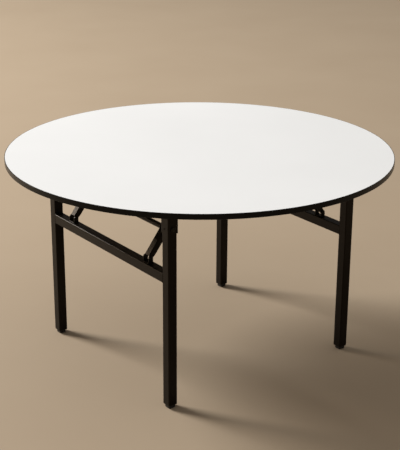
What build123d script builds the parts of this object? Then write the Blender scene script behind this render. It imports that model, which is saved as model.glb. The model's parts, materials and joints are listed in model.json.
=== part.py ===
from build123d import *
import os
from math import radians, sin, tan

os.makedirs("parts", exist_ok=True)

# Round folding table, millimetres, +Z up.
# The origin is on the floor under the middle of the top.
# The two leg frames stand square to X: the near frame at -X, the far frame at +X.
# Left is +Y and right is -Y. Both frames fold inwards, up against the top.

# Whole table
table_height = 760.0
top_diameter = 1400.0
frame_offset = 392.0
leg_offset = 370.0
near_brace_offset = 243.5
far_brace_offset = 228.0

# Table top: a laminate face, a core board, a backing sheet and an edge band
face_thickness = 0.8
core_thickness = 17.5
backing_thickness = 0.7
band_thickness = 2.0
band_rounding = 0.8
glue_gap = 0.05

# Square tube of the leg frames
tube_side = 35.0
tube_wall = 1.8
tube_corner = 3.0
crossbar_drop = 267.5

# Plastic feet
foot_height = 14.0
foot_side = 26.0
foot_corner = 3.0
foot_chamfer = 2.0
foot_flange_thickness = 1.5
foot_flange_inset = 0.5
plug_depth = 24.0
plug_clearance = 0.1
plug_corner = 1.6

# Leg brackets: a channel with its web outside, under a screw plate
near_pivot_drop = 88.0
far_pivot_drop = 46.0
bracket_wall = 2.0
bracket_bend = 3.0
bracket_web_gap = 0.3
bracket_lip = 1.5
bracket_below_pivot = 17.0
bracket_plate_thickness = 3.0
bracket_plate_ear = 24.0
bracket_plate_corner = 5.0
bracket_screw_spread = 22.0
hang_hole_radius = 3.0

# Leg pivots: a bolt in a bush, with a plastic washer on each side of the leg
bolt_radius = 4.0
bolt_head_radius = 9.0
bolt_head_height = 3.5
bolt_head_dome = 2.5
bolt_thread_showing = 1.5
nut_across_flats = 13.0
nut_height = 7.0
nut_chamfer = 0.8
bush_radius = 7.0
washer_radius = 9.5
washer_thickness = 0.5
washer_gap = 0.1

# Braces: a lower channel, an upper channel that nests in it, and their rivets
brace_angle = 53.0
brace_foot_rise = 16.0
brace_top_drop = 18.0
near_knee_share = 0.42744
far_knee_share = 0.539923
lower_strut_width = 27.0
lower_strut_depth = 21.0
strut_wall = 2.0
strut_bend = 3.0
strut_side_gap = 0.5
strut_nest_gap = 0.3
lower_web_start = 6.5
lower_end_radius = 7.0
lower_end_taper = 24.0
lower_web_setback = 48.0
knee_overrun = 10.0
stop_tab_start = 7.5
stop_tab_length = 5.0
tie_radius = 9.5
tie_wall = 1.5
rivet_radius = 4.0
rivet_head_radius = 7.0
rivet_head_height = 2.5
rivet_head_dome = 1.8
inner_head_radius = 6.0
inner_head_height = 2.0
knee_stub_gap = 0.3

# Clevis on the crossbar and hanger under the top, one pair for each brace
clevis_wall = 3.0
clevis_gap = 0.6
clevis_width = 18.0
clevis_bend = 3.0
hanger_wall = 2.5
hanger_plate_length = 64.0
hanger_plate_margin = 2.0
hanger_plate_corner = 5.0
hanger_ear_base = 26.0
hanger_ear_shoulder = 2.0
hanger_tip_radius = 9.0
hanger_screw_spread = 46.0

# Pan head screws
screw_radius = 2.0
screw_bite = 13.0
screw_tip = 1.2
screw_head_radius = 4.2
screw_head_height = 2.6
screw_head_dome = 1.8
screw_slot_width = 1.0
screw_slot_depth = 1.1
screw_slot_length = 5.0
screw_hole_clearance = 0.2
pilot_clearance = 0.05
pilot_extra_depth = 1.0

# Fits
fixed_clearance = 0.05
running_clearance = 0.08
cut_overrun = 5.0
quarter_turn = 90.0

# Sizes that follow from the ones above
top_radius = top_diameter / 2
top_thickness = face_thickness + core_thickness + backing_thickness
underside = table_height - top_thickness
core_radius = top_radius - band_thickness - glue_gap
tube_half = tube_side / 2
tube_bore = tube_side - 2 * tube_wall
crossbar_top_height = table_height - crossbar_drop
crossbar_height = crossbar_top_height - tube_half
washer_space = washer_thickness + 2 * washer_gap
bracket_inner_half = tube_half + washer_space
bracket_outer_half = bracket_inner_half + bracket_wall
bracket_web_inside = tube_half + bracket_web_gap
bracket_web_outside = bracket_web_inside + bracket_wall
bracket_open_side = tube_half + bracket_lip
lower_half_width = lower_strut_width / 2
lower_half_depth = lower_strut_depth / 2
lower_inner_half = lower_half_width - strut_wall
upper_half_width = lower_inner_half - strut_side_gap
upper_inner_half = upper_half_width - strut_wall
upper_half_depth = lower_half_depth - strut_wall - strut_nest_gap
clevis_inner_half = lower_half_width + clevis_gap
clevis_outer_half = clevis_inner_half + clevis_wall
hanger_inner_half = upper_half_width + strut_side_gap
hanger_outer_half = hanger_inner_half + hanger_wall
brace_foot_height = crossbar_top_height + brace_foot_rise
brace_top_height = underside - brace_top_drop
brace_length = (brace_top_height - brace_foot_height) / sin(radians(brace_angle))
brace_reach = (brace_top_height - brace_foot_height) / tan(radians(brace_angle))
frame_x = -frame_offset
hanger_x = frame_x + brace_reach

# The two frames differ in the height of the pivot, the place of the knee and how far apart the braces are.
pivot_drops = {"near": near_pivot_drop, "far": far_pivot_drop}
knee_distances = {"near": near_knee_share * brace_length, "far": far_knee_share * brace_length}
brace_offsets = {"near": near_brace_offset, "far": far_brace_offset}


def block(x_low, x_high, y_low, y_high, z_low, z_high):
    """A box between two corners."""
    middle = Pos((x_low + x_high) / 2, (y_low + y_high) / 2, (z_low + z_high) / 2)
    return middle * Box(x_high - x_low, y_high - y_low, z_high - z_low)


def rod(x, z, y_low, y_high, radius):
    """A round rod along Y."""
    turned = Rot(X=quarter_turn) * Cylinder(radius, y_high - y_low)
    return Pos(x, (y_low + y_high) / 2, z) * turned


def plate(outline, y_low, y_high):
    """An outline drawn in X and Z, given its thickness along Y."""
    back = Plane(origin=(0, y_high, 0), x_dir=(1, 0, 0), z_dir=(0, -1, 0))
    return extrude(back * outline, amount=y_high - y_low)


def towards_y(shape, x, y, z):
    """A piece made along +Z, laid along +Y from the given point."""
    return Pos(x, y, z) * Rot(X=-quarter_turn) * shape


def other_side(shape):
    """The same piece on the right-hand side of the table."""
    return mirror(shape, about=Plane.XZ)


def group(shapes):
    """Separate solids that share one file."""
    return Compound([solid for shape in shapes for solid in shape.solids()])


def pair(shape):
    """A piece and its twin on the right."""
    return group([shape, other_side(shape)])


def domed_head(radius, height, dome):
    """A low round head that stands on z = 0, rounded at the top."""
    head = Pos(0, 0, height / 2) * Cylinder(radius, height)
    return fillet(head.edges().group_by(Axis.Z)[-1], radius=dome)


def screw():
    """A pan head screw that points up, with the seat of its head at z = 0."""
    shank_length = bracket_plate_thickness + screw_bite
    shank = Pos(0, 0, shank_length / 2) * Cylinder(screw_radius, shank_length)
    shank = chamfer(shank.edges().group_by(Axis.Z)[-1], length=screw_tip)
    head = mirror(domed_head(screw_head_radius, screw_head_height, screw_head_dome), about=Plane.XY)
    body = shank + head
    slot_z = screw_slot_depth / 2 - screw_head_height
    for slot_size in ((screw_slot_length, screw_slot_width), (screw_slot_width, screw_slot_length)):
        body -= Pos(0, 0, slot_z) * Box(*slot_size, screw_slot_depth)
    return body


def screw_pattern(x, y, x_spread, y_spread):
    """Places of the screws of one plate: four corners, or two in line."""
    y_places = (y - y_spread / 2, y + y_spread / 2) if y_spread else (y,)
    return [(px, py) for px in (x - x_spread / 2, x + x_spread / 2) for py in y_places]


def around_the_table(places):
    """Places on both sides of both frames, from those on the left of each, drawn at the near frame."""
    ways = {"near": 1, "far": -1}
    return [(px * ways[name], py * side) for name in places for px, py in places[name] for side in (1, -1)]


bracket_screw_y_spread = 2 * bracket_outer_half + bracket_plate_ear
bracket_screws = screw_pattern(frame_x, leg_offset, bracket_screw_spread, bracket_screw_y_spread)
near_hanger_screws = screw_pattern(hanger_x, near_brace_offset, hanger_screw_spread, 0)
far_hanger_screws = screw_pattern(hanger_x, far_brace_offset, hanger_screw_spread, 0)
bracket_screw_places = around_the_table({"near": bracket_screws, "far": bracket_screws})
hanger_screw_places = around_the_table({"near": near_hanger_screws, "far": far_hanger_screws})


def screws_at(places, plate_thickness):
    """Screws whose heads sit under plates of the given thickness."""
    one = screw()
    seat = underside - plate_thickness
    return group([Pos(px, py, seat) * one for px, py in places])


def pilot_holes(z_low, z_high):
    """The holes that the screws bite into."""
    hole = Cylinder(screw_radius + pilot_clearance, z_high - z_low)
    places = bracket_screw_places + hanger_screw_places
    return [Pos(px, py, (z_low + z_high) / 2) * hole for px, py in places]


def disc(radius, z_low, z_high):
    """A round sheet."""
    return Pos(0, 0, (z_low + z_high) / 2) * Cylinder(radius, z_high - z_low)


def core_board():
    """The board that carries the laminates and takes the screws."""
    board = disc(core_radius, underside + backing_thickness, table_height - face_thickness)
    pilot_top = underside + screw_bite + pilot_extra_depth
    return board - pilot_holes(underside - cut_overrun, pilot_top)


def backing_sheet():
    """The sheet under the board, drilled with it."""
    sheet = disc(core_radius, underside, underside + backing_thickness)
    return sheet - pilot_holes(underside - cut_overrun, underside + backing_thickness + cut_overrun)


def edge_band():
    """The band round the edge, flush with both faces and eased at its corners."""
    outer = disc(top_radius, underside, table_height)
    outer = fillet(outer.edges().filter_by(GeomType.CIRCLE), radius=band_rounding)
    return outer - disc(top_radius - band_thickness, underside - cut_overrun, table_height + cut_overrun)


def square_tube(length):
    """Square tube from z = 0 upwards."""
    skin = RectangleRounded(tube_side, tube_side, tube_corner)
    bore = RectangleRounded(tube_bore, tube_bore, tube_corner - tube_wall)
    return extrude(skin - bore, amount=length)


def leg(pivot_height):
    """A leg tube, its top rounded about the pivot and drilled for the bush."""
    top = pivot_height + tube_half
    tube = Pos(frame_x, leg_offset, foot_height) * square_tube(top - foot_height)
    y_low = leg_offset - tube_side
    y_high = leg_offset + tube_side
    corners = block(frame_x - tube_side, frame_x + tube_side, y_low, y_high, pivot_height, top + cut_overrun)
    corners -= rod(frame_x, pivot_height, y_low, y_high, tube_half)
    bush_hole = rod(frame_x, pivot_height, y_low, y_high, bush_radius + fixed_clearance)
    return tube - corners - bush_hole


def crossbar():
    """The bar between the two legs of a frame."""
    half_length = leg_offset - tube_half
    lying = Rot(X=quarter_turn) * square_tube(2 * half_length)
    return Pos(frame_x, half_length, crossbar_height) * lying


def foot():
    """A plastic foot: the pad, the flange at the tube's end and the plug inside it."""
    pad = extrude(RectangleRounded(foot_side, foot_side, foot_corner), amount=foot_height)
    pad = chamfer(pad.faces().sort_by(Axis.Z)[0].edges(), length=foot_chamfer)
    flange_side = tube_side - 2 * foot_flange_inset
    flange = extrude(RectangleRounded(flange_side, flange_side, foot_corner), amount=foot_flange_thickness)
    plug_side = tube_bore - 2 * plug_clearance
    plug = extrude(RectangleRounded(plug_side, plug_side, plug_corner), amount=plug_depth)
    flange_bottom = foot_height - foot_flange_thickness
    body = pad + Pos(0, 0, flange_bottom) * flange + Pos(0, 0, foot_height) * plug
    return Pos(frame_x, leg_offset, 0) * body


def pivot_bush(pivot_height):
    """The steel bush across the leg that the bolt turns in."""
    y_low = leg_offset - tube_half
    y_high = leg_offset + tube_half
    bore = rod(frame_x, pivot_height, y_low, y_high, bolt_radius + running_clearance)
    return rod(frame_x, pivot_height, y_low, y_high, bush_radius) - bore


def pivot_bolt(pivot_height):
    """The bolt of a leg pivot, its head on the outside of the table."""
    shank_length = 2 * bracket_outer_half + nut_height + bolt_thread_showing
    shank_middle = leg_offset + bracket_outer_half - shank_length / 2
    shank = Pos(frame_x, shank_middle, pivot_height) * Rot(X=quarter_turn) * Cylinder(bolt_radius, shank_length)
    head = domed_head(bolt_head_radius, bolt_head_height, bolt_head_dome)
    return shank + towards_y(head, frame_x, leg_offset + bracket_outer_half, pivot_height)


def pivot_nut(pivot_height):
    """The lock nut on the inner side of a leg bracket."""
    flats = RegularPolygon(nut_across_flats / 2, 6, major_radius=False)
    nut = extrude(flats, amount=nut_height)
    nut = chamfer(nut.faces().sort_by(Axis.Z)[0].edges(), length=nut_chamfer)
    nut -= Pos(0, 0, nut_height / 2) * Cylinder(bolt_radius + fixed_clearance, nut_height + cut_overrun)
    return towards_y(nut, frame_x, leg_offset - bracket_outer_half - nut_height, pivot_height)


def pivot_washers(pivot_height):
    """The two plastic washers that keep the leg off its bracket."""
    first_low = leg_offset + tube_half + washer_gap
    second_low = leg_offset - tube_half - washer_gap - washer_thickness
    washers = []
    for y_low in (first_low, second_low):
        y_high = y_low + washer_thickness
        ring = rod(frame_x, pivot_height, y_low, y_high, washer_radius)
        hole = rod(frame_x, pivot_height, y_low, y_high, bolt_radius + fixed_clearance)
        washers.append(ring - hole)
    return washers


def leg_bracket(pivot_height):
    """The channel that holds a leg, bent from sheet, and the plate that is screwed to the top."""
    depth = bracket_web_outside + bracket_open_side
    outside = Rectangle(depth, 2 * bracket_outer_half)
    outside = fillet(outside.vertices().group_by(Axis.X)[0], radius=bracket_bend)
    inside = Rectangle(depth, 2 * bracket_inner_half)
    inside = fillet(inside.vertices().group_by(Axis.X)[0], radius=bracket_bend - bracket_wall)
    section = Pos((bracket_open_side - bracket_web_outside) / 2, 0) * (outside - Pos(bracket_wall, 0) * inside)
    bottom = pivot_height - bracket_below_pivot
    plate_bottom = underside - bracket_plate_thickness
    channel = Pos(frame_x, leg_offset, bottom) * extrude(section, amount=plate_bottom - bottom)
    plate_width = 2 * (bracket_outer_half + bracket_plate_ear)
    flat = RectangleRounded(depth, plate_width, bracket_plate_corner)
    top_plate = extrude(flat, amount=bracket_plate_thickness)
    plate_x = frame_x + (bracket_open_side - bracket_web_outside) / 2
    bracket = channel + Pos(plate_x, leg_offset, plate_bottom) * top_plate
    y_low = leg_offset - bracket_outer_half - cut_overrun
    y_high = leg_offset + bracket_outer_half + cut_overrun
    bracket -= rod(frame_x, pivot_height, y_low, y_high, bolt_radius + fixed_clearance)
    hang_hole = Rot(Y=quarter_turn) * Cylinder(hang_hole_radius, 2 * bracket_wall)
    bracket -= Pos(frame_x - bracket_web_outside, leg_offset, pivot_height) * hang_hole
    screw_hole = Cylinder(screw_radius + screw_hole_clearance, 2 * bracket_plate_thickness)
    bracket -= [Pos(px, py, plate_bottom) * screw_hole for px, py in bracket_screws]
    return bracket


def eared_outline(base_length, shoulder, rise, tip_radius):
    """The side of an ear: a base on z = 0 that narrows to a round tip about the pivot."""
    base = Pos(0, shoulder / 2) * Rectangle(base_length, shoulder)
    tip = Pos(0, rise) * Circle(tip_radius)
    return make_hull(base.edges() + tip.edges())


def clevis(offset):
    """The clevis on the crossbar: a strip bent to a U, its ears outside the lower strut."""
    outline = eared_outline(clevis_width, clevis_bend, brace_foot_rise, clevis_width / 2)
    body = plate(outline, -clevis_outer_half, clevis_outer_half)
    bottom_sides = body.edges().filter_by(Axis.X).group_by(Axis.Z)[0]
    body = fillet(bottom_sides, radius=clevis_bend)
    slot_top = brace_foot_rise + clevis_width / 2 + cut_overrun
    slot_half = clevis_width / 2 + cut_overrun
    body -= block(-slot_half, slot_half, -clevis_inner_half, clevis_inner_half, clevis_wall, slot_top)
    y_end = clevis_outer_half + cut_overrun
    body -= rod(0, brace_foot_rise, -y_end, y_end, rivet_radius + fixed_clearance)
    return Pos(frame_x, offset, crossbar_top_height) * body


def hanger(offset):
    """The hanger under the top: a screw plate and two ears outside the upper strut."""
    outline = eared_outline(hanger_ear_base, hanger_wall + hanger_ear_shoulder, brace_top_drop, hanger_tip_radius)
    ears = plate(outline, -hanger_outer_half, hanger_outer_half)
    slot_top = brace_top_drop + hanger_tip_radius + cut_overrun
    slot_half = hanger_ear_base / 2 + cut_overrun
    ears -= block(-slot_half, slot_half, -hanger_inner_half, hanger_inner_half, hanger_wall, slot_top)
    plate_width = 2 * (hanger_outer_half + hanger_plate_margin)
    flat = RectangleRounded(hanger_plate_length, plate_width, hanger_plate_corner)
    body = ears + extrude(flat, amount=hanger_wall)
    y_end = hanger_outer_half + cut_overrun
    body -= rod(0, brace_top_drop, -y_end, y_end, rivet_radius + fixed_clearance)
    screw_hole = Cylinder(screw_radius + screw_hole_clearance, 2 * hanger_wall + cut_overrun)
    body -= [Pos(px, py, 0) * screw_hole for px, py in screw_pattern(0, 0, hanger_screw_spread, 0)]
    return Pos(hanger_x, offset, underside) * Rot(X=2 * quarter_turn) * body


def round_ended(length, half_depth):
    """The side of a strut that is rounded at both ends."""
    return Pos(length / 2, 0) * SlotCenterToCenter(length, 2 * half_depth)


def narrow_ended(length, half_depth):
    """The side of a strut that narrows to its first rivet and is rounded at both ends."""
    tip = Circle(lower_end_radius)
    upper_side = Polyline((lower_web_start, half_depth), (length, half_depth))
    lower_side = Polyline((lower_end_taper, -half_depth), (length, -half_depth))
    far_end = Pos(length, 0) * Circle(half_depth)
    return make_hull(tip.edges() + upper_side.edges() + lower_side.edges() + far_end.edges())


def strut_channel(outline, length, half_width, half_depth):
    """A channel laid along X from its first rivet, its web on top."""
    bar = plate(outline, -half_width, half_width)
    section_depth = 2 * half_depth + cut_overrun
    section = Pos(0, half_depth - section_depth / 2) * RectangleRounded(2 * half_width, section_depth, strut_bend)
    section_length = length + 2 * half_depth + 2 * cut_overrun
    front = Plane(origin=(-half_depth - cut_overrun, 0, 0), x_dir=(0, 1, 0), z_dir=(1, 0, 0))
    bar &= extrude(front * section, amount=section_length)
    inner_half = half_width - strut_wall
    x_low = -half_depth - cut_overrun
    x_high = x_low + section_length
    return bar - block(x_low, x_high, -inner_half, inner_half, -section_depth, half_depth - strut_wall)


def strut_windows(spans, inner_half, half_depth):
    """The stretches where the web of a strut is cut away."""
    z_low = half_depth - 2 * strut_wall
    z_high = half_depth + strut_wall
    return [block(x_low, x_high, -inner_half, inner_half, z_low, z_high) for x_low, x_high in spans]


def in_brace_place(shape, offset, distance):
    """A piece made along the brace, set at its distance from the foot rivet."""
    foot_place = Pos(frame_x, offset, brace_foot_height)
    return foot_place * Rot(Y=-brace_angle) * Pos(distance, 0, 0) * shape


def lower_strut(offset, knee):
    """The lower half of a brace: a channel that ends in a fork with a stop across it."""
    length = knee + knee_overrun
    bar = strut_channel(narrow_ended(length, lower_half_depth), length, lower_half_width, lower_half_depth)
    far_end = knee + knee_overrun + lower_half_depth + cut_overrun
    tab = knee + stop_tab_start
    near_end = -lower_half_depth - cut_overrun
    spans = ((near_end, lower_web_start), (knee - lower_web_setback, tab), (tab + stop_tab_length, far_end))
    bar -= strut_windows(spans, lower_inner_half, lower_half_depth)
    y_end = lower_half_width + cut_overrun
    bar -= rod(0, 0, -y_end, y_end, rivet_radius + running_clearance)
    bar -= rod(knee, 0, -y_end, y_end, rivet_radius + fixed_clearance)
    return in_brace_place(bar, offset, 0)


def upper_strut(offset, knee):
    """The upper half of a brace: a narrower channel from the knee to the hanger."""
    length = brace_length - knee
    bar = strut_channel(round_ended(length, upper_half_depth), length, upper_half_width, upper_half_depth)
    y_end = upper_half_width + cut_overrun
    bar -= rod(0, 0, -y_end, y_end, rivet_radius + fixed_clearance)
    bar -= rod(length, 0, -y_end, y_end, rivet_radius + running_clearance)
    return in_brace_place(bar, offset, knee)


def through_rivet(half_length):
    """A rivet along Y with a domed head at each end."""
    head = towards_y(domed_head(rivet_head_radius, rivet_head_height, rivet_head_dome), 0, half_length, 0)
    return rod(0, 0, -half_length, half_length, rivet_radius) + head + other_side(head)


def clevis_rivet():
    """A short rivet through the left ear of a clevis and the cheek beside it, with a low head inside."""
    shank = rod(0, 0, lower_inner_half, clevis_outer_half, rivet_radius)
    outer_head = domed_head(rivet_head_radius, rivet_head_height, rivet_head_dome)
    inner_head = domed_head(inner_head_radius, inner_head_height, rivet_head_dome)
    rivet = shank + towards_y(outer_head, 0, clevis_outer_half, 0)
    return rivet + other_side(towards_y(inner_head, 0, -lower_inner_half, 0))


def knee_rivet_ends(offset, knee):
    """The two ends of a knee rivet, each held in its cheek of the fork."""
    stub_low = upper_half_width + knee_stub_gap
    stub = rod(0, 0, stub_low, lower_half_width, rivet_radius)
    outer_head = domed_head(rivet_head_radius, rivet_head_height, rivet_head_dome)
    inner_head = domed_head(inner_head_radius, inner_head_height, rivet_head_dome)
    outer_end = stub + towards_y(outer_head, 0, lower_half_width, 0)
    inner_end = other_side(stub + towards_y(inner_head, 0, lower_half_width, 0))
    return [in_brace_place(end, offset, knee) for end in (outer_end, inner_end)]


def knee_pin(offset, knee):
    """The middle of a knee rivet, held in the upper strut and flush with its sides."""
    return in_brace_place(rod(0, 0, -upper_half_width, upper_half_width, rivet_radius), offset, knee)


def tie_tube(offset, knee):
    """The tube from knee to knee that makes the two braces of a frame move as one."""
    end = offset - lower_half_width
    tube = rod(0, 0, -end, end, tie_radius) - rod(0, 0, -end, end, tie_radius - tie_wall)
    return in_brace_place(tube, 0, knee)


def at_frame(name, shape):
    """Pieces are drawn at the near frame; the far frame has them mirrored."""
    return shape if name == "near" else mirror(shape, about=Plane.YZ)


def frame_parts(name):
    """Every piece of one leg frame and its braces, by node name."""
    pivot_height = underside - pivot_drops[name]
    offset = brace_offsets[name]
    knee = knee_distances[name]
    one_leg = leg(pivot_height)
    one_lower = lower_strut(offset, knee)
    one_upper = upper_strut(offset, knee)
    foot_rivets = Pos(frame_x, offset, brace_foot_height) * pair(clevis_rivet())
    shapes = {
        "left_leg": one_leg,
        "right_leg": other_side(one_leg),
        "crossbar": crossbar(),
        "feet": pair(foot()),
        "pivot_bushes": pair(pivot_bush(pivot_height)),
        "brace_clevises": pair(clevis(offset)),
        "clevis_rivets": pair(foot_rivets),
        "left_lower_strut": one_lower,
        "right_lower_strut": other_side(one_lower),
        "tie_tube": tie_tube(offset, knee),
        "knee_rivet_ends": pair(group(knee_rivet_ends(offset, knee))),
        "left_upper_strut": one_upper,
        "right_upper_strut": other_side(one_upper),
        "knee_pins": pair(knee_pin(offset, knee)),
        "leg_brackets": pair(leg_bracket(pivot_height)),
        "brace_hangers": pair(hanger(offset)),
    }
    return {f"{name}_{part}": at_frame(name, shape) for part, shape in shapes.items()}


def shared_fasteners():
    """The bolts, nuts, washers, rivets and screws that are alike at both frames."""
    bolts, nuts, washers, rivets = [], [], [], []
    for name, drop in pivot_drops.items():
        pivot_height = underside - drop
        bolts.append(at_frame(name, pair(pivot_bolt(pivot_height))))
        nuts.append(at_frame(name, pair(pivot_nut(pivot_height))))
        washers.append(at_frame(name, pair(group(pivot_washers(pivot_height)))))
        hanger_rivet = Pos(hanger_x, brace_offsets[name], brace_top_height) * through_rivet(hanger_outer_half)
        rivets.append(at_frame(name, pair(hanger_rivet)))
    return {
        "pivot_bolts": group(bolts),
        "pivot_nuts": group(nuts),
        "pivot_washers": group(washers),
        "hanger_rivets": group(rivets),
        "bracket_screws": screws_at(bracket_screw_places, bracket_plate_thickness),
        "hanger_screws": screws_at(hanger_screw_places, hanger_wall),
    }


nodes = {
    "face_laminate": disc(core_radius, table_height - face_thickness, table_height),
    "core_board": core_board(),
    "backing_sheet": backing_sheet(),
    "edge_band": edge_band(),
}
nodes.update(frame_parts("near"))
nodes.update(frame_parts("far"))
nodes.update(shared_fasteners())

for node, shape in nodes.items():
    export_step(shape, f"parts/{node}.step")
print(f"{len(nodes)} nodes, brace length {brace_length:.2f}, reach {brace_reach:.2f}")
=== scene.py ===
# %% [markdown]
# The table comes in as a fixed model: every tube, bracket, rivet and screw already has its real shape,
# size and place in metres, with the origin on the floor under the middle of the top. What is left to
# Blender is what the eye reads as real: the finishes, the weld seams, the bolt threads and the light.

# %% Load the model
import json
import math

import bpy
from mathutils import Euler, Matrix, Vector


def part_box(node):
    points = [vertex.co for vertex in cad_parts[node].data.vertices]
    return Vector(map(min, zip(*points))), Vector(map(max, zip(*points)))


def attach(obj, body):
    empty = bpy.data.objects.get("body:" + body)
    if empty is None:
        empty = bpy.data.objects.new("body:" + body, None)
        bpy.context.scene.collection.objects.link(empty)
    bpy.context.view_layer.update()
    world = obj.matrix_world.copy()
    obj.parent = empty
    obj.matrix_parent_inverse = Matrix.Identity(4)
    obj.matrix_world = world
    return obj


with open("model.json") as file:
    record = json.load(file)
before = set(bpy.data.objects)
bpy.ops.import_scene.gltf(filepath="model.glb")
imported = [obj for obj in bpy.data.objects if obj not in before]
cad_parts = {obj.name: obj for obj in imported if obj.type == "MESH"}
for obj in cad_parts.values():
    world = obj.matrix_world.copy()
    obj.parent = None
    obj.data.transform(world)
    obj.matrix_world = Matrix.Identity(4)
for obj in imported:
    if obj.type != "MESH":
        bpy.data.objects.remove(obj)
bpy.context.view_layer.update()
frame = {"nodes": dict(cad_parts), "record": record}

scene = bpy.context.scene
nodes = frame["nodes"]


# %% [markdown]
# The camera stands two metres up and four metres off, and looks 36 degrees away from the line of the
# crossbars, so that both run away to the left. Its place, its tilt and its lens came from lining up the
# rim, the legs and the crossbars with a model of these sizes. The lens is a long one, which is why the
# far legs look hardly smaller than the near ones.

# %% The camera
quarter_turn = math.radians(90)
camera_place = (-2.437, -3.309, 1.971)
camera_heading = math.radians(36.41)
camera_dip = math.radians(20.08)
camera_roll = math.radians(0.31)
camera_lens_mm = 94.34
sensor_mm = 36.0
farthest_seen = 200.0

camera_data = bpy.data.cameras.new("camera")
camera_data.lens = camera_lens_mm
camera_data.sensor_width = sensor_mm
camera_data.clip_end = farthest_seen
camera = bpy.data.objects.new("camera", camera_data)
scene.collection.objects.link(camera)
aim = Euler((quarter_turn - camera_dip, 0, -camera_heading)).to_matrix()
turn = aim @ Matrix.Rotation(camera_roll, 3, "Z")
camera.matrix_world = Matrix.Translation(camera_place) @ turn.to_4x4()
scene.camera = camera
print(f"camera {Vector(camera_place).length:.2f} m from the origin, lens {camera_lens_mm} mm")


# %% [markdown]
# A finish on a real surface is never one flat colour. Each material here is built from noise that is
# laid through the object's own space, so it needs no image and no unwrapping, and stays put when the
# table folds. A node graph can be wired up by hand, but that hides the idea behind the wiring. So one
# small class wraps a node's output, and adding or multiplying it adds the Math node.

# %% A wire: an output that can be added and multiplied
class Wire:
    """One output of a node. Arithmetic on it adds Math nodes to the same finish."""

    def __init__(self, finish, socket):
        self.finish = finish
        self.socket = socket

    def joined(self, operation, first, second):
        """A Math node on two values, each a wire or a number."""
        return self.finish.node("ShaderNodeMath", {"operation": operation}, {0: first, 1: second})

    def __add__(self, other):
        return self.joined("ADD", self, other)

    def __radd__(self, other):
        return self.joined("ADD", other, self)

    def __sub__(self, other):
        return self.joined("SUBTRACT", self, other)

    def __rsub__(self, other):
        return self.joined("SUBTRACT", other, self)

    def __mul__(self, other):
        return self.joined("MULTIPLY", self, other)

    def __rmul__(self, other):
        return self.joined("MULTIPLY", other, self)

    def __abs__(self):
        return self.finish.node("ShaderNodeMath", {"operation": "ABSOLUTE"}, {0: self})


signs = {"+": "__add__", "-": "__sub__", "*": "__mul__", "abs": "__abs__"}
print("a wire understands", [sign for sign, method in signs.items() if hasattr(Wire, method)])


# %% [markdown]
# Every other node comes from one method, which takes the node's type, its settings and what goes into
# its sockets. The methods after it are the few words in which the finishes below are written: noise,
# grains, a step, a mix of two colours, a stretched space and one coordinate of a point.

# %% A finish: one material and the nodes in it
class Finish:
    """A material that is written as expressions."""

    def __init__(self, name, **constants):
        self.material = bpy.data.materials.new(name)
        self.material.use_nodes = True
        self.tree = self.material.node_tree
        self.shader = self.tree.nodes["Principled BSDF"]
        for socket, value in constants.items():
            self.shader.inputs[socket.replace("_", " ")].default_value = value
        self.place = self.node("ShaderNodeTexCoord", {}, {}, "Object")

    def set_socket(self, socket, value):
        """Links a wire to a socket, or writes a number or a colour on it."""
        if isinstance(value, Wire):
            self.tree.links.new(value.socket, socket)
        elif socket.type == "RGBA":
            socket.default_value = (*value, 1.0)
        else:
            socket.default_value = value

    def node(self, kind, settings, sockets, output=0):
        """Any node: its type, its settings and the values or wires of its sockets."""
        made = self.tree.nodes.new(kind)
        for name, value in settings.items():
            setattr(made, name, value)
        for key, value in sockets.items():
            self.set_socket(made.inputs[key], value)
        return Wire(self, made.outputs[output])

    def noise(self, size, detail, space=None):
        """Soft noise from 0 to 1 whose patches are about as wide as size, in metres."""
        where = self.place if space is None else space
        return self.node("ShaderNodeTexNoise", {}, {"Vector": where, "Scale": 1 / size, "Detail": detail})

    def grains(self, size):
        """How far each point is from the middle of the nearest grain."""
        return self.node("ShaderNodeTexVoronoi", {}, {"Vector": self.place, "Scale": 1 / size})

    def step(self, value, low, high):
        """0 below low, 1 above high and a slope between them."""
        limits = {"Value": value, "From Min": low, "From Max": high}
        return self.node("ShaderNodeMapRange", {"clamp": True}, limits)

    def mix(self, share, first, second):
        """A colour between two colours. The numbers are the places of a Mix node's colour sockets."""
        first_colour = 6
        second_colour = 7
        mixed_colour = 2
        sockets = {0: share, first_colour: first, second_colour: second}
        return self.node("ShaderNodeMix", {"data_type": "RGBA"}, sockets, mixed_colour)

    def stretched(self, x, y, z):
        """The place of each point, with its axes scaled so that noise on it turns into streaks."""
        scaling = {"operation": "MULTIPLY"}
        return self.node("ShaderNodeVectorMath", scaling, {0: self.place, 1: (x, y, z)})

    def axis(self, letter):
        """One coordinate of each point, in metres."""
        return self.node("ShaderNodeSeparateXYZ", {}, {0: self.place}, letter)

    def wear(self, colour, roughness, relief, depth):
        """Connects what varies over the surface: its colour, its roughness and its relief in metres."""
        self.set_socket(self.shader.inputs["Base Color"], colour)
        self.set_socket(self.shader.inputs["Roughness"], roughness)
        bump = self.node("ShaderNodeBump", {}, {"Height": relief, "Distance": depth}, "Normal")
        self.set_socket(self.shader.inputs["Normal"], bump)
        print(f"{self.material.name}: {len(self.tree.nodes)} nodes")
        return self.material


print("a finish is written with", [word for word in vars(Finish) if not word.startswith("_")])


# %% [markdown]
# The face is a high pressure laminate: hard, white and satin, pressed against a plate that leaves a
# pebble of about a millimetre. A picture of it would do, but it would blur close up. Its white leans to
# blue, which the warm light takes back. What gives it life is the roughness: broad patches where it has
# been wiped, and hair scratches that only show in the highlight.

# %% The white laminate
finishes = {}


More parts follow.
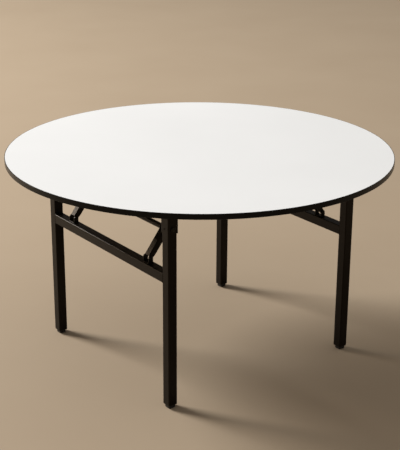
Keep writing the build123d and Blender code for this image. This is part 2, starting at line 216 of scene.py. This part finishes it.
def white_laminate():
    dull_white = (0.820, 0.845, 0.870)
    clean_white = (0.860, 0.885, 0.910)
    satin = 0.30
    wiped = 0.10
    pebbled = 0.05
    scratched = 0.05
    scratch_depth = 0.3
    finish = Finish("white_laminate", IOR=1.5)
    patches = finish.noise(size=0.45, detail=3.0)
    pebble = finish.noise(size=0.0012, detail=1.0)
    hair = finish.noise(size=0.004, detail=4.0, space=finish.stretched(x=0.06, y=1.0, z=1.0))
    scratches = finish.step(hair, low=0.66, high=0.74)
    colour = finish.mix(patches, dull_white, clean_white)
    roughness = satin + patches * wiped + pebble * pebbled + scratches * scratched
    return finish.wear(colour, roughness, pebble - scratches * scratch_depth, depth=0.00006)


finishes["white_laminate"] = white_laminate()


# %% [markdown]
# Under the face is fibreboard, closed in by the sheets and the band. Wood dust pressed with glue is
# matt and fibrous, so short streaks of noise do for it, with darker clumps among them. It shows only
# where it was drilled, but whoever takes the model apart will see it.

# %% The board
def fibreboard():
    brown_fibre = (0.33, 0.22, 0.13)
    pale_fibre = (0.52, 0.39, 0.26)
    dark_clump = (0.24, 0.16, 0.10)
    clump_share = 0.35
    matt = 0.85
    fibre_share = 0.1
    finish = Finish("board")
    fibres = finish.noise(size=0.0016, detail=5.0, space=finish.stretched(x=1.0, y=1.0, z=6.0))
    clumps = finish.noise(size=0.012, detail=3.0)
    colour = finish.mix(fibres, brown_fibre, pale_fibre)
    colour = finish.mix(clumps * clump_share, colour, dark_clump)
    return finish.wear(colour, matt + fibres * fibre_share, fibres, depth=0.0002)


finishes["board"] = fibreboard()


# %% [markdown]
# A thin matt sheet on the underside keeps the board from bowing. It is what is seen when the table lies
# folded on its face: a dark brown grey with the faint mottle of paper soaked in resin. Two noises of very
# different size are added, because the fine one alone looks like a pattern from a step back.

# %% The backing sheet
def backing_paper():
    dark_grey = (0.15, 0.135, 0.115)
    light_grey = (0.24, 0.22, 0.19)
    mottle_share = 0.6
    cloud_share = 0.4
    smoothest = 0.50
    roughness_range = 0.16
    mottle_relief = 0.5
    finish = Finish("backing", IOR=1.45)
    mottle = finish.noise(size=0.010, detail=6.0)
    clouds = finish.noise(size=0.22, detail=2.0)
    grain = finish.noise(size=0.0009, detail=2.0)
    colour = finish.mix(mottle * mottle_share + clouds * cloud_share, dark_grey, light_grey)
    roughness = smoothest + mottle * roughness_range
    return finish.wear(colour, roughness, grain + mottle * mottle_relief, depth=0.00005)


finishes["backing"] = backing_paper()


# %% [markdown]
# The edge band is a strip of black plastic, drawn through a die and glued round the board. The die
# leaves fine lines along the strip, so they run round the rim at steady heights: noise that is squeezed
# in height alone draws them all the way round. The strip has two ends, and where they meet, at the back
# of the table, there is a butt joint a third of a millimetre wide. It is worked out from the coordinates.

# %% The black edge band
def edge_strip():
    black = (0.0022, 0.0020, 0.0018)
    rubbed_black = (0.0046, 0.0041, 0.0036)
    joint_width = 0.0003
    back_of_table = 0.1
    glossiest = 0.22
    rubbed_share = 0.12
    joint_share = 0.3
    line_relief = 0.4
    joint_relief = 2
    finish = Finish("black_edge", IOR=1.5, Specular_IOR_Level=0.15)
    lines = finish.noise(size=0.00035, detail=1.0, space=finish.stretched(x=0.004, y=0.004, z=1.0))
    rubbed = finish.noise(size=0.030, detail=4.0, space=finish.stretched(x=1.0, y=1.0, z=3.0))
    beside_joint = finish.step(abs(finish.axis("X")), low=0.0, high=joint_width)
    behind = finish.step(finish.axis("Y"), low=0.0, high=back_of_table)
    joint = (1 - beside_joint) * behind
    colour = finish.mix(rubbed, black, rubbed_black)
    roughness = glossiest + rubbed * rubbed_share + joint * joint_share
    return finish.wear(colour, roughness, lines * line_relief - joint * joint_relief, depth=0.00008)


finishes["black_edge"] = edge_strip()


# %% [markdown]
# All the folding steelwork is powder coated. The powder melts into a skin that never lies quite flat:
# up close it has the dimples of an orange peel, one or two millimetres wide, and its gloss drifts
# along a tube because it was sprayed by hand. The dimples could be displaced for real, but a bump does
# it at this size. Black is not black either: a little brown in it shows where light rakes over the
# outer faces of the legs, and the tint on the reflections is for the same reason.

# %% The powder coat
def powder_coat():
    deep_black = (0.0036, 0.0026, 0.0018)
    brown_black = (0.0060, 0.0044, 0.0030)
    warm_reflection = (1.0, 0.86, 0.72, 1.0)
    glossiest = 0.27
    drift_share = 0.12
    grit_share = 0.06
    speck_share = 0.04
    grit_relief = 0.25
    finish = Finish("black_steel", IOR=1.5, Specular_IOR_Level=0.17, Specular_Tint=warm_reflection)
    peel = finish.noise(size=0.0018, detail=2.0)
    grit = finish.noise(size=0.0004, detail=1.0)
    drift = finish.noise(size=0.09, detail=3.0)
    specks = finish.step(finish.grains(size=0.006), low=0.0, high=0.10)
    colour = finish.mix(drift, deep_black, brown_black)
    roughness = glossiest + drift * drift_share + grit * grit_share - specks * speck_share
    return finish.wear(colour, roughness, peel + grit * grit_relief, depth=0.00008)


finishes["black_steel"] = powder_coat()


# %% [markdown]
# Bolts, nuts and rivets are blackened steel. The black is thinner than paint, so bare metal comes
# through where tools and washers have rubbed: the same mask makes those spots lighter and smoother.
# It is set a little short of full metal, which keeps the black from mirroring too well.

# %% Blackened steel
def blackened_steel():
    blackened = (0.020, 0.018, 0.015)
    bare = (0.080, 0.070, 0.060)
    dullest = 0.42
    grit_share = 0.12
    worn_share = 0.10
    finish = Finish("black_fastener", Metallic=0.85)
    rubbed = finish.noise(size=0.0035, detail=4.0)
    worn = finish.step(rubbed, low=0.58, high=0.78)
    grit = finish.noise(size=0.0003, detail=2.0)
    colour = finish.mix(worn, blackened, bare)
    roughness = dullest + grit * grit_share - worn * worn_share
    return finish.wear(colour, roughness, grit, depth=0.00004)


finishes["black_fastener"] = blackened_steel()


# %% [markdown]
# Screws and bushes are bright zinc, with the faint drift from blue to yellow that the plating bath
# leaves. Zinc grows in crystals, and each is a little lower and smoother in its middle than at its edge.
# A cell pattern gives just that: it serves the roughness and the relief at once.

# %% Bright zinc
def bright_zinc():
    bluish = (0.52, 0.53, 0.55)
    yellowish = (0.66, 0.65, 0.60)
    brightest = 0.24
    crystal_share = 0.22
    finish = Finish("zinc", Metallic=1.0)
    drift = finish.noise(size=0.004, detail=3.0)
    crystals = finish.grains(size=0.0009)
    colour = finish.mix(drift, bluish, yellowish)
    return finish.wear(colour, brightest + crystals * crystal_share, crystals, depth=0.00003)


finishes["zinc"] = bright_zinc()


# %% [markdown]
# The feet are moulded in black plastic with a spark-eroded grain, and their rims are scuffed grey by
# the floor. The scuffs could be painted on, but height above the floor says where they are: a mask that
# fades out four millimetres up, broken by a cloudy noise.

# %% The plastic of the feet
def foot_plastic():
    black = (0.014, 0.013, 0.012)
    scuffed_grey = (0.10, 0.095, 0.09)
    scuff_top = 0.004
    scuff_colour_share = 0.5
    smoothest = 0.46
    grain_share = 0.18
    scuff_share = 0.15
    finish = Finish("black_plastic", IOR=1.46)
    grain = finish.grains(size=0.0007)
    cloud = finish.noise(size=0.006, detail=4.0)
    near_floor = 1 - finish.step(finish.axis("Z"), low=0.0, high=scuff_top)
    scuffs = near_floor * finish.step(cloud, low=0.40, high=0.62)
    colour = finish.mix(scuffs * scuff_colour_share, black, scuffed_grey)
    roughness = smoothest + grain * grain_share + scuffs * scuff_share
    return finish.wear(colour, roughness, grain, depth=0.00006)


finishes["black_plastic"] = foot_plastic()


# %% [markdown]
# The washers in the leg pivots are plain nylon: milky, waxy and slightly see-through. Real transparency
# would make them glass, so a little light is scattered under the surface instead.

# %% The nylon of the washers
def washer_nylon():
    milky = (0.74, 0.73, 0.68)
    white = (0.82, 0.81, 0.77)
    waxy = 0.38
    grit_share = 0.12
    finish = Finish("nylon", IOR=1.53, Subsurface_Weight=0.15, Subsurface_Scale=0.002)
    cloud = finish.noise(size=0.003, detail=2.0)
    grit = finish.noise(size=0.0004, detail=1.0)
    return finish.wear(finish.mix(cloud, milky, white), waxy + grit * grit_share, grit, depth=0.00003)


finishes["nylon"] = washer_nylon()


# %% [markdown]
# The model's record says which finish each node takes, so the materials are handed out by looking it
# up. A node's shape is never touched: its plain material is taken off, and the richer one goes on.

# %% Hand out the finishes
subparts = frame["record"]["subparts"]
for subpart in subparts:
    node_mesh = nodes[subpart["node"]].data
    node_mesh.materials.clear()
    node_mesh.materials.append(finishes[subpart["material_slot"]])
print(f"{len(finishes)} finishes on {len(subparts)} nodes")


# %% [markdown]
# The frames are welded where a crossbar meets a leg, where a clevis stands on a crossbar, and where a
# tie tube meets a strut. The places could be typed in, but the boxes of the model's own nodes already
# hold them, and follow the model when it changes. The left joints are found here, and the right ones
# mirror them. A bead's middle lies about half a millimetre from the corner that it fills.

# %% Where the joints are
millimetre = 0.001
frame_names = ("near", "far")
side_signs = {"left": 1, "right": -1}
sunk_in_leg = 0.6 * millimetre
above_crossbar = 0.5 * millimetre
short_of_strut = 0.3 * millimetre


def left_box(node):
    """The lowest and the highest corner of what a node has on the left side of the table."""
    corners = [vertex.co for vertex in nodes[node].data.vertices if vertex.co.y > 0]
    low = Vector([min(corner[axis] for corner in corners) for axis in range(3)])
    high = Vector([max(corner[axis] for corner in corners) for axis in range(3)])
    return low, high


def joints_of(name):
    """For one leg frame: where its crossbar, its clevis and its tie tube are welded on the left."""
    bar_low, bar_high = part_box(f"{name}_crossbar")
    clevis_low, clevis_high = left_box(f"{name}_brace_clevises")
    tie_low, tie_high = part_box(f"{name}_tie_tube")
    bar_middle = (bar_low + bar_high) / 2
    clevis_middle = (clevis_low + clevis_high) / 2
    tie_middle = (tie_low + tie_high) / 2
    return {
        "crossbar": Vector((bar_middle.x, bar_high.y + sunk_in_leg, bar_middle.z)),
        "clevis": Vector((clevis_middle.x, clevis_middle.y, clevis_low.z + above_crossbar)),
        "tie_tube": Vector((tie_middle.x, tie_high.y - short_of_strut, tie_middle.z)),
    }


joint_places = {name: joints_of(name) for name in frame_names}
for name, places in joint_places.items():
    print(name, {joint: tuple(round(c, 4) for c in place) for joint, place in places.items()})


# %% [markdown]
# A weld follows a closed line round its joint. A square or oblong one is a plane that is scaled, gets
# its corners bevelled and then loses its face. A round one is a circle. Both become curves, because a
# curve is what a row of ripples can be bent along. A line lies a hair outside the steel that it goes
# round, but inside it where two faces are flush, so that the bead there stands little more than half a
# millimetre proud, as a dressed weld does. It also lies inside where the foot of the clevis is rounded,
# because the bead fills the groove under the bend.

# %% The lines that the welds follow
corner_steps = 6
ring_points = 40
crossbar_side = 35 * millimetre
clevis_width = 18 * millimetre
clevis_length = 34.2 * millimetre
tie_tube_radius = 9.5 * millimetre
outside_tube = 0.1 * millimetre
outside_clevis = 0.2 * millimetre
inside_flush_face = 1.2 * millimetre
inside_bend = 0.5 * millimetre


def flat_loop(width, depth, corner):
    """A closed line round an oblong joint: a plane with bevelled corners that keeps only its outline."""
    bpy.ops.object.select_all(action="DESELECT")
    bpy.ops.mesh.primitive_plane_add(size=1)
    bpy.ops.object.mode_set(mode="EDIT")
    bpy.ops.transform.resize(value=(width, depth, 1))
    bpy.ops.mesh.bevel(offset=corner, segments=corner_steps, affect="VERTICES")
    bpy.ops.mesh.delete(type="ONLY_FACE")
    bpy.ops.object.mode_set(mode="OBJECT")
    bpy.ops.object.convert(target="CURVE")
    return bpy.context.object


def round_loop(radius):
    """A closed line round the end of a tube."""
    bpy.ops.object.select_all(action="DESELECT")
    bpy.ops.mesh.primitive_circle_add(vertices=ring_points, radius=radius)
    bpy.ops.object.convert(target="CURVE")
    return bpy.context.object


loops = {
    "crossbar": flat_loop(
        width=crossbar_side - 2 * inside_flush_face,
        depth=crossbar_side + 2 * outside_tube,
        corner=3 * millimetre,
    ),
    "clevis": flat_loop(
        width=clevis_width + 2 * outside_clevis,
        depth=clevis_length - 2 * inside_bend,
        corner=2 * millimetre,
    ),
    "tie_tube": round_loop(radius=tie_tube_radius + outside_tube),
}
for joint, loop in loops.items():
    print(f"{joint}: a line of {loop.data.splines[0].calc_length() / millimetre:.1f} mm")


# %% [markdown]
# A weld isn't a smooth fillet. It is laid as a row of small molten puddles, each freezing over the edge
# of the one before, and that row of ripples is what tells a welded joint from a moulded one. A ring of
# them could be turned in one go with the Spin operator, but two of the three lines aren't round. So a
# single ripple is drawn out of a circle: it swells over its first third, stays full over the next and
# falls back over the last. An Array modifier repeats it, and a Curve modifier bends the row round the
# line. The row is one ripple short of the whole line, and the next step bridges the gap.

# %% One ripple, repeated and bent round
ripple_pitch = 1.6 * millimetre
bead_facets = 12
swell = 1.13
ripple_steps = ((0.35, swell), (0.35, 1.0), (0.30, 1 / swell))
merge_share = 0.02
bead_thickness = {"crossbar": 3.6 * millimetre, "clevis": 2.8 * millimetre, "tie_tube": 2.0 * millimetre}


def weld_bead(joint):
    """A rippled bead, still open, along the line of one kind of joint. The line is used up."""
    length = loops[joint].data.splines[0].calc_length()
    ripples = round(length / ripple_pitch)
    pitch = length / ripples
    radius = bead_thickness[joint] / 2
    bpy.ops.object.select_all(action="DESELECT")
    bpy.ops.mesh.primitive_circle_add(vertices=bead_facets, radius=radius, rotation=(0, quarter_turn, 0))
    bpy.ops.object.transform_apply(location=False, rotation=True, scale=False)
    bead = bpy.context.object
    bpy.ops.object.mode_set(mode="EDIT")
    for share, growth in ripple_steps:
        bpy.ops.mesh.extrude_region_move(TRANSFORM_OT_translate={"value": (pitch * share, 0, 0)})
        bpy.ops.transform.resize(value=(1, growth, growth))
    bpy.ops.object.mode_set(mode="OBJECT")
    row = bead.modifiers.new("row", "ARRAY")
    row.count = ripples - 1
    row.relative_offset_displace = (1, 0, 0)
    row.use_merge_vertices = True
    row.merge_threshold = pitch * merge_share
    bend = bead.modifiers.new("bend", "CURVE")
    bend.object = loops[joint]
    for modifier in ("row", "bend"):
        bpy.ops.object.modifier_apply(modifier=modifier)
    bpy.data.objects.remove(loops[joint])
    print(f"{joint}: {ripples} ripples of {pitch / millimetre:.2f} mm")
    return bead


beads = {joint: weld_bead(joint) for joint in loops}


# %% [markdown]
# Each row now has two open ends a ripple apart. They are the only edges with a face on one side alone,
# so Blender can find them by itself and bridge them. The bead is then one closed skin, which can have
# its faces turned outwards and be shaded smooth. The rings at the ends of tubes are stood upright.

# %% Close the beads
upright = ("crossbar", "tie_tube")


def pick(piece):
    """Selects one object alone, as a click on it does."""
    bpy.ops.object.select_all(action="DESELECT")
    piece.select_set(True)
    bpy.context.view_layer.objects.active = piece


def close_and_smooth(bead):
    """Bridges the gap that the last ripple left and turns every face outwards."""
    bpy.ops.object.mode_set(mode="EDIT")
    bpy.ops.mesh.select_mode(type="EDGE")
    bpy.ops.mesh.select_all(action="DESELECT")
    bpy.ops.mesh.select_non_manifold()
    bpy.ops.mesh.bridge_edge_loops()
    bpy.ops.mesh.select_all(action="SELECT")
    bpy.ops.mesh.normals_make_consistent(inside=False)
    bpy.ops.object.mode_set(mode="OBJECT")
    bpy.ops.object.shade_smooth()
    bead.data.materials.append(finishes["black_steel"])


for joint, bead in beads.items():
    pick(bead)
    close_and_smooth(bead)
    if joint in upright:
        bead.rotation_euler.x = quarter_turn
        bpy.ops.object.transform_apply(location=False, rotation=True, scale=False)
    print(f"{joint}: one closed bead of {len(bead.data.polygons)} faces")


# %% [markdown]
# Each kind of joint has four places, two on each frame, and each place gets a copy with its own mesh. A
# linked copy would be lighter, but its mesh couldn't be moved by itself. The mesh is moved into place
# while the object itself stays at the origin, and the copy is hung on an empty named after the steel it
# was laid on.

# %% Lay the welds
def lay_welds(joint, rides):
    """Puts a copy of a bead at each of the four joints of its kind."""
    for name, places in joint_places.items():
        for side, sign in side_signs.items():
            pick(beads[joint])
            bpy.ops.object.duplicate(linked=False)
            copy = bpy.context.object
            copy.name = f"{name}_{side}_{joint}_weld"
            copy.location = (places[joint].x, places[joint].y * sign, places[joint].z)
            bpy.ops.object.transform_apply(location=True, rotation=False, scale=False)
            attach(copy, f"{name}_{rides}")
            print("laid", copy.name)
    bpy.data.objects.remove(beads[joint])


lay_welds("crossbar", "leg_frame")
lay_welds("clevis", "leg_frame")
lay_welds("tie_tube", "lower_brace")


# %% [markdown]
# Each pivot bolt sticks out of its lock nut by a turn of thread, and without it the bolt looks like a
# peg. A bump would do from afar, but not in outline. A thread is one small profile drawn along a helix,
# which is just what the Screw modifier does: it turns a profile round an axis while it climbs. The ridge
# starts inside the nut, so only its far end shows.

# %% One ridge of thread
bolt_radius = 4 * millimetre
ridge_half = 0.35 * millimetre
ridge_depth_in_bolt = 0.1 * millimetre
ridge_corners = 4
thread_pitch = 1.25 * millimetre
thread_turns = 1.3
thread_start_in_nut = 0.7 * millimetre
thread_steps = 56
full_turn = 4 * quarter_turn
sharp_edge = quarter_turn / 2


def thread_ridge():
    """A right-hand ridge that climbs along +Z, closed at both of its ends."""
    bpy.ops.object.select_all(action="DESELECT")
    start = (bolt_radius - ridge_depth_in_bolt, 0, -thread_start_in_nut)
    lying = (quarter_turn, 0, 0)
    bpy.ops.mesh.primitive_circle_add(
        vertices=ridge_corners, radius=ridge_half, location=start, rotation=lying
    )
    bpy.ops.object.transform_apply(location=True, rotation=True, scale=False)
    ridge = bpy.context.object
    climb = ridge.modifiers.new("climb", "SCREW")
    climb.angle = thread_turns * full_turn
    climb.screw_offset = thread_turns * thread_pitch
    climb.steps = thread_steps
    climb.render_steps = thread_steps
    bpy.ops.object.modifier_apply(modifier="climb")
    bpy.ops.object.mode_set(mode="EDIT")
    bpy.ops.mesh.select_all(action="SELECT")
    bpy.ops.mesh.fill_holes(sides=ridge_corners)
    bpy.ops.mesh.normals_make_consistent(inside=False)
    bpy.ops.object.mode_set(mode="OBJECT")
    bpy.ops.object.shade_smooth_by_angle(angle=sharp_edge)
    ridge.data.materials.append(finishes["black_fastener"])
    return ridge


master_ridge = thread_ridge()
print(f"a ridge of {thread_turns} turns, {len(master_ridge.data.polygons)} faces")


# %% [markdown]
# The threads start at the inner faces of the nuts and point inwards, one on each of the four bolts. The
# copies are turned into place and never mirrored, since a mirrored thread is a left-handed one.

# %% A thread on each pivot bolt
nut_inner_face = left_box("pivot_nuts")[0].y
for name in frame_names:
    bush_low, bush_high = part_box(f"{name}_pivot_bushes")
    pivot = (bush_low + bush_high) / 2
    for side, sign in side_signs.items():
        pick(master_ridge)
        bpy.ops.object.duplicate(linked=False)
        ridge = bpy.context.object
        ridge.name = f"{name}_{side}_bolt_thread"
        ridge.rotation_euler.x = sign * quarter_turn
        ridge.location = (pivot.x, sign * nut_inner_face, pivot.z)
        bpy.ops.object.transform_apply(location=True, rotation=True, scale=False)
        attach(ridge, "table_top")
bpy.data.objects.remove(master_ridge)
print(f"four threads, starting {nut_inner_face:.4f} m from the middle of the table")


# %% [markdown]
# The floor is plain and pale. A black tube shows little but what it mirrors, and most of that is floor,
# so the floor's warm tint is what gives the legs theirs. It is one large sheet, so that its edge stays
# out of the picture.

# %% The floor
floor_side = 60.0
darker_sand = (0.345, 0.268, 0.187)
lighter_sand = (0.375, 0.298, 0.213)
floor_matt = 0.75
floor_cloud_share = 0.1
bpy.ops.object.select_all(action="DESELECT")
bpy.ops.mesh.primitive_plane_add(size=floor_side)
floor = bpy.context.object
floor.name = "floor"
floor_finish = Finish("floor_paint")
floor_cloud = floor_finish.noise(size=0.6, detail=3.0)
floor_colour = floor_finish.mix(floor_cloud, darker_sand, lighter_sand)
floor_roughness = floor_matt + floor_cloud * floor_cloud_share
floor.data.materials.append(floor_finish.wear(floor_colour, floor_roughness, floor_cloud, depth=0.0002))
print(f"floor {floor_side:.0f} m square")


# %% [markdown]
# One big soft lamp does for daylight. It stands to the left of the table and somewhat behind it, because
# the legs throw their shadows to the right and slightly forwards. Seen from the camera it rakes over the
# outer faces of the legs and leaves the faces on the right almost black. A weaker, warmer lamp below it
# is for the light that comes back off what lies on that side. The view is set to Standard, because the
# usual one greys a white top as film would.

# %% The lamps
scene.view_settings.view_transform = "Standard"
table_middle = Vector((0, 0, 0.5))


def soft_lamp(name, bearing, height, distance, size, power, colour):
    """A round lamp that faces the table. Its bearing from +Y towards +X and its height are in degrees."""
    lamp_data = bpy.data.lights.new(name, "AREA")
    lamp_data.shape = "DISK"
    lamp_data.size = size
    lamp_data.energy = power
    lamp_data.color = colour
    lamp = bpy.data.objects.new(name, lamp_data)
    scene.collection.objects.link(lamp)
    angle = math.radians(bearing)
    climb = math.radians(height)
    away = Vector((math.sin(angle) * math.cos(climb), math.cos(angle) * math.cos(climb), math.sin(climb)))
    lamp.location = table_middle + away * distance
    lamp.rotation_euler = away.to_track_quat("Z", "Y").to_euler()
    print(f"lamp {name} at {tuple(round(c, 2) for c in lamp.location)}")


daylight_white = (1.0, 0.975, 0.94)
returned_warm = (1.0, 0.78, 0.56)
soft_lamp("daylight", bearing=-26, height=35, distance=14.0, size=4.9, power=2500, colour=daylight_white)
soft_lamp("low_daylight", bearing=-35, height=17, distance=7.0, size=1.6, power=60, colour=returned_warm)


# %% [markdown]
# The rest of the light is a warm sky. An even one would put a grey veil on everything black, because
# upright faces mirror what is near the horizon. So this one is dim up to 15 degrees above it, and at its
# brightest from 53 degrees up: the height of the direction that a ray leaves in sets the strength.

# %% The sky
dim_up_to = 0.25
bright_from = 0.80
dimmest = 0.06
brightest = 0.60
sky_colour = (1.0, 0.94, 0.87, 1.0)
sky = bpy.data.worlds.new("soft_sky")
sky.use_nodes = True
background = sky.node_tree.nodes["Background"]
direction = sky.node_tree.nodes.new("ShaderNodeTexCoord")
split = sky.node_tree.nodes.new("ShaderNodeSeparateXYZ")
strength = sky.node_tree.nodes.new("ShaderNodeMapRange")
strength.inputs["From Min"].default_value = dim_up_to
strength.inputs["From Max"].default_value = bright_from
strength.inputs["To Min"].default_value = dimmest
strength.inputs["To Max"].default_value = brightest
sky.node_tree.links.new(direction.outputs["Generated"], split.inputs[0])
sky.node_tree.links.new(split.outputs["Z"], strength.inputs["Value"])
sky.node_tree.links.new(strength.outputs[0], background.inputs["Strength"])
background.inputs["Color"].default_value = sky_colour
scene.world = sky
print(f"sky from {dimmest} near the horizon to {brightest} overhead")


# %% [markdown] What was added lies within the table's outline.
